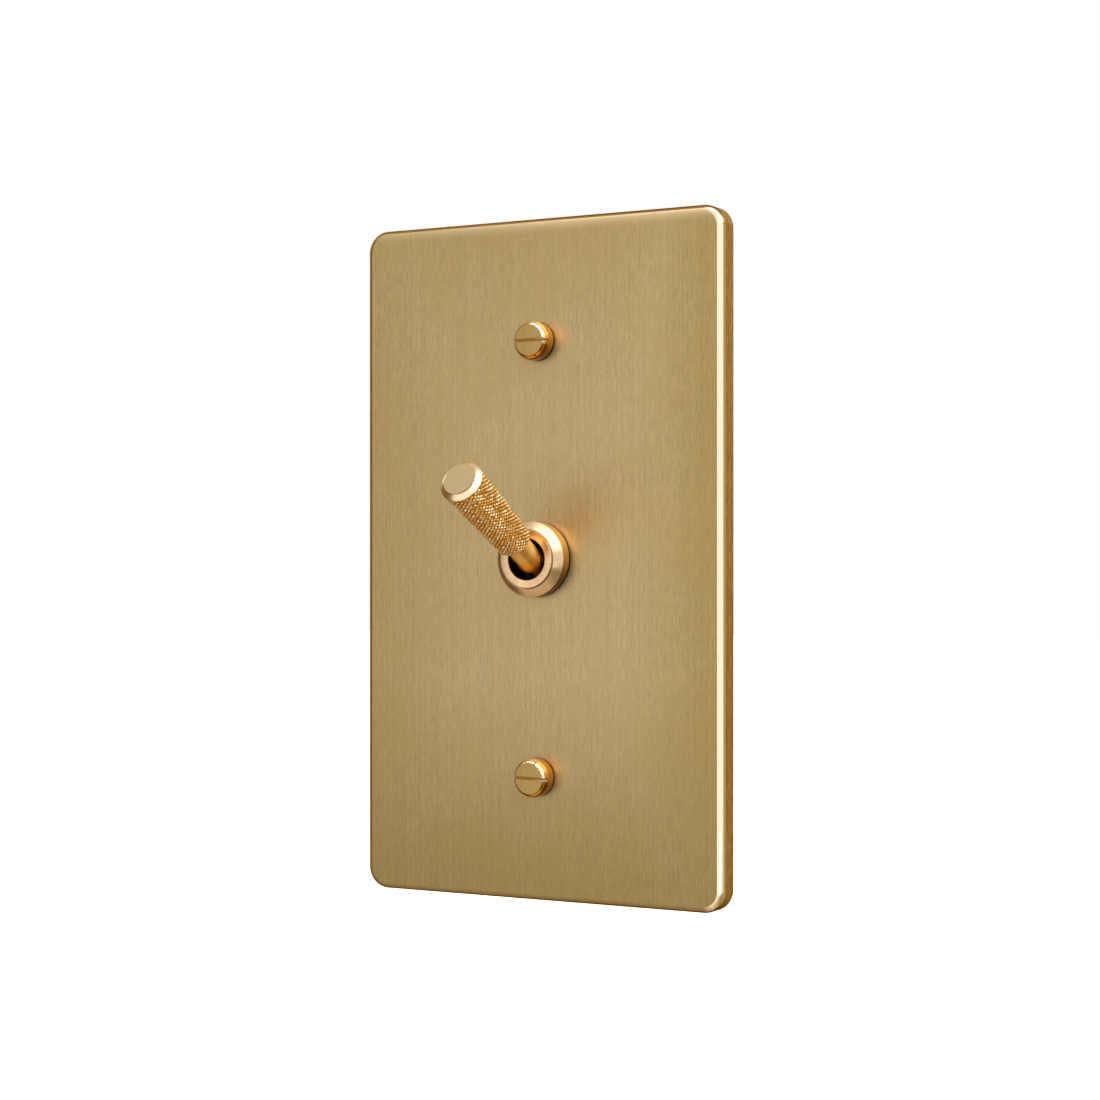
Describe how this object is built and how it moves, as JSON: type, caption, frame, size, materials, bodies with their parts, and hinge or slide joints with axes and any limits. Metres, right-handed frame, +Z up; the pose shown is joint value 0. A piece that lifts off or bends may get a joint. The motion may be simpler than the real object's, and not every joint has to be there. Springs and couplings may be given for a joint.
{
  "type": "toggle light switch",
  "caption": "Brass wall plate with a knurled toggle lever in a round collar, slotted fixing screws and a two-way rocker switch behind it.",
  "frame": {"origin": "centre of the plate's back face, on the wall plane, on the axis of the collar", "axes": "+Z up the plate, +Y into the wall, +X to the viewer's right, so the front faces -Y"},
  "size_m": [0.078, 0.0564, 0.1306],
  "materials": {
    "brushed_brass": "fine vertical brushing, satin",
    "polished_brass": "turned and polished",
    "turned_brass": "fine turned lines",
    "knurled_brass": "diamond knurl",
    "lever_brass": "turned",
    "bushing_brass": "turned and threaded",
    "spring_steel": "bare spring steel",
    "tinned_brass": "tinned sheet",
    "green_brass": "green lacquer",
    "nylon": "natural moulded nylon",
    "blade_copper": "rolled copper alloy",
    "contact_silver": "silver contact",
    "terminal_brass": "stamped sheet",
    "plated_steel": "zinc plated",
    "black_moulding": "moulded thermoset",
    "fibre_sheet": "pressed fibre"
  },
  "bodies": {
    "base": {"face_plate": "brushed_brass", "plate_screws": "polished_brass", "collar": "turned_brass", "bushing": "bushing_brass", "lock_washer": "spring_steel", "earth_tag": "tinned_brass", "earth_screw": "green_brass", "fixed_contacts": "contact_silver", "lower_terminal": "terminal_brass", "upper_terminal": "terminal_brass", "common_terminal": "terminal_brass", "terminal_screws": "plated_steel", "switch_case": "black_moulding", "insulator_sheet": "fibre_sheet", "cover_frame": "plated_steel"},
    "toggle": {"lever": "lever_brass", "knurled_grip": "knurled_brass", "plunger": "nylon", "plunger_spring": "spring_steel"},
    "rocker": {"rocker_blade": "blade_copper", "rocker_contacts": "contact_silver"}
  },
  "joints": [
    {"name": "toggle_tilt", "type": "hinge", "parent": "base", "child": "toggle", "pos_m": [0, -0.00775, 0], "axis": [1, 0, 0], "range_deg": [0, 58.6]},
    {"name": "rocker_tilt", "type": "hinge", "parent": "base", "child": "rocker", "pos_m": [0, 0.00685, 0], "axis": [1, 0, 0], "range_deg": [-15, 0]}
  ],
  "couplings": [
    {"joint": "rocker_tilt", "follows": "toggle_tilt", "ratio": -0.25597}
  ]
}
